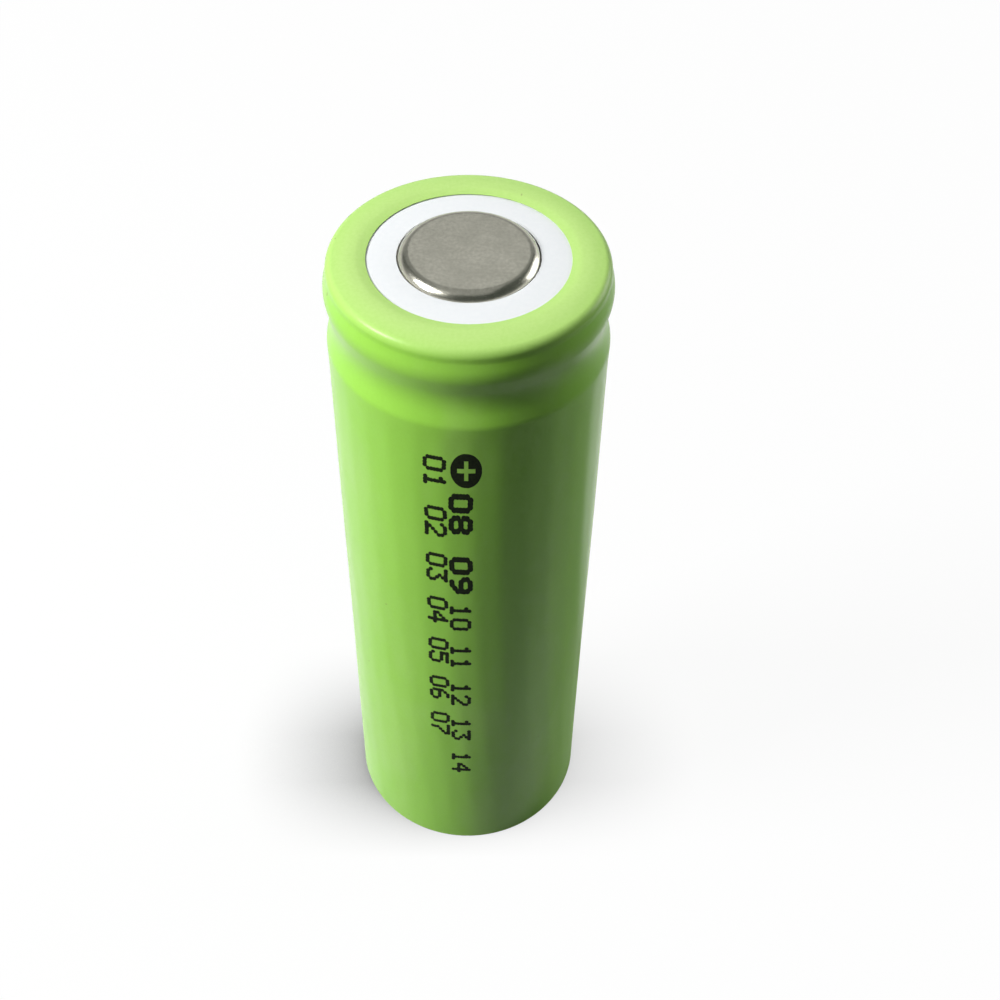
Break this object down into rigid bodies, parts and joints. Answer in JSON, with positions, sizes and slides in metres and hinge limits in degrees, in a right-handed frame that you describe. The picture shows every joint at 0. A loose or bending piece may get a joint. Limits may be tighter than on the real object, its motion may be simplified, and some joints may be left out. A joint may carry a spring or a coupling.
{
  "type": "cylindrical rechargeable battery cell",
  "caption": "Sleeved cylindrical rechargeable cell with a flat positive cap, white insulating ring, beaded and crimped can, wound electrode roll and a resealing vent.",
  "frame": {"origin": "middle of the face that the cell stands on, at its negative end", "axes": "+Z along the cell's axis, from the negative base to the positive cap"},
  "size_m": [0.0164, 0.0164, 0.0498],
  "materials": {
    "sleeve": "satin green heat-shrunk film",
    "can": "nickel plated, bright",
    "insulation_ring": "smooth white fibre paper",
    "positive_cap": "nickel plated, finely worn",
    "vent_plug": "matt black rubber",
    "seal_plate": "nickel plated",
    "gasket": "natural nylon",
    "positive_lead": "nickel strip",
    "upper_insulator": "natural plastic sheet",
    "collectors": "pierced nickel plated sheet",
    "separators": "white fleece",
    "positive_electrode": "dark paste in nickel foam",
    "negative_electrode": "dark grey alloy powder on pierced strip"
  },
  "bodies": {
    "cell": {"sleeve": "sleeve", "can": "can", "insulation_ring": "insulation_ring", "positive_cap": "positive_cap", "seal_plate": "seal_plate", "gasket": "gasket", "positive_lead": "positive_lead", "upper_insulator": "upper_insulator", "positive_collector": "collectors", "separator_inner": "separators", "positive_electrode": "positive_electrode", "separator_outer": "separators", "negative_electrode": "negative_electrode", "negative_collector": "collectors"},
    "vent": {"vent_plug": "vent_plug"}
  },
  "joints": [
    {"name": "vent_lift", "type": "slide", "parent": "cell", "child": "vent", "axis": [0, 0, 1], "range_m": [0, 0.0003], "stiffness_N_per_m": 100, "springref_m": -0.0005}
  ]
}
